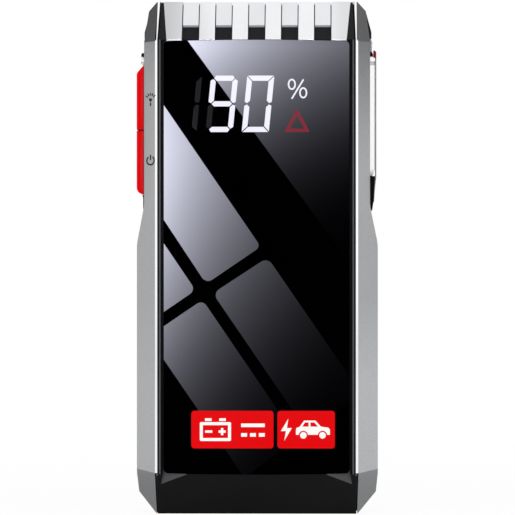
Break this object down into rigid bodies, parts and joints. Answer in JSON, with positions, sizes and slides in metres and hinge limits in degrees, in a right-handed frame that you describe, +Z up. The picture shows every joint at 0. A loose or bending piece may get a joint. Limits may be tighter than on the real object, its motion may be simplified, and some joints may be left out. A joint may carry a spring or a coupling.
{
  "type": "jump starter pack",
  "caption": "Hand-held engine jump starter pack: glass front with charge readout, torch comb on top, side keys, covered output ports and a covered jump socket below.",
  "frame": {"origin": "middle of the footprint, on the surface that the pack stands on", "axes": "+Z up along the pack, -Y out of the glass front, +X to the right when facing the glass"},
  "size_m": [0.0888, 0.037, 0.188],
  "materials": {
    "glass_black": "polished, opaque black behind",
    "case_black": "fine satin grain",
    "bezel_black": "satin gloss",
    "rail_silver": "satin silver coat, polished front edge",
    "comb_silver": "bright satin silver coat",
    "lens_frost": "frosted",
    "key_red": "glossy",
    "trim_black": "glossy",
    "bright_frame": "plated",
    "cover_grey": "satin",
    "cover_black": "satin",
    "pad_rubber": "matte",
    "screw_steel": "dark zinc",
    "circuit_green": "solder mask",
    "component_black": "moulded",
    "display_body": "matte",
    "light_pipe": "diffusing",
    "reflector_white": "gloss white",
    "led_phosphor": "domed phosphor",
    "tape_black": "adhesive foam",
    "ribbon_amber": "polyimide film",
    "spreader_aluminium": "plain",
    "can_aluminium": "sleeved can",
    "ferrite_grey": "pressed powder",
    "port_steel": "nickel plated",
    "contact_brass": "plated",
    "cell_pouch": "laminated foil",
    "foam_grey": "foam",
    "tab_nickel": "nickel",
    "lead_red": "silicone sleeve",
    "lead_black": "silicone sleeve"
  },
  "bodies": {
    "case": {"battery_board": "circuit_green", "board_screws": "screw_steel", "boost_inductors": "ferrite_grey", "capacitors": "can_aluminium", "case_screws": "screw_steel", "cell_1": "cell_pouch", "cell_2": "cell_pouch", "cell_3": "cell_pouch", "cell_4": "cell_pouch", "cell_pads": "foam_grey", "cell_tabs": "tab_nickel", "control_chips": "component_black", "dc_jack": "component_black", "dc_jack_pin": "contact_brass", "display_board": "circuit_green", "display_glass": "glass_black", "display_module": "display_body", "display_ribbon": "ribbon_amber", "display_screws": "screw_steel", "display_segments": "light_pipe", "front_bezel": "bezel_black", "glass_tape": "tape_black", "heat_spreader": "spreader_aluminium", "jump_contacts": "contact_brass", "jump_socket": "component_black", "key_board": "circuit_green", "left_key_frame": "bright_frame", "left_side_rail": "rail_silver", "left_side_trim": "trim_black", "light_switch": "component_black", "main_board": "circuit_green", "negative_lead": "lead_black", "positive_lead": "lead_red", "power_mosfets": "component_black", "power_switch": "component_black", "rear_pads": "pad_rubber", "rear_shell": "case_black", "right_port_frame": "bright_frame", "right_side_rail": "rail_silver", "right_side_trim": "trim_black", "top_grille": "comb_silver", "torch_board": "circuit_green", "torch_leds": "led_phosphor", "torch_lens": "lens_frost", "torch_reflector": "reflector_white", "torch_wires": "lead_black", "usb_a_port": "port_steel", "usb_a_tongue": "component_black", "usb_c_port": "port_steel", "usb_c_tongue": "component_black"},
    "light_key": {"light_button": "key_red", "light_switch_plunger": "light_pipe"},
    "power_key": {"power_button": "key_red", "power_switch_plunger": "light_pipe"},
    "port_flap": {"port_cover": "cover_grey", "port_cover_tab": "key_red"},
    "jump_flap": {"jump_port_cover": "cover_black"}
  },
  "joints": [
    {"name": "light_key_press", "type": "slide", "parent": "case", "child": "light_key", "axis": [1, 0, 0], "range_m": [0, 0.0004], "stiffness_N_per_m": 2500, "springref_m": -0.0004},
    {"name": "power_key_press", "type": "slide", "parent": "case", "child": "power_key", "axis": [1, 0, 0], "range_m": [0, 0.0004], "stiffness_N_per_m": 2500, "springref_m": -0.0004},
    {"name": "port_flap_hinge", "type": "hinge", "parent": "case", "child": "port_flap", "pos_m": [0.0417, -0.00075, 0.1136], "axis": [0, 1, 0], "range_deg": [0, 90]},
    {"name": "jump_flap_hinge", "type": "hinge", "parent": "case", "child": "jump_flap", "pos_m": [0, 0.0062, 0.00155], "axis": [1, 0, 0], "range_deg": [0, 105]}
  ]
}
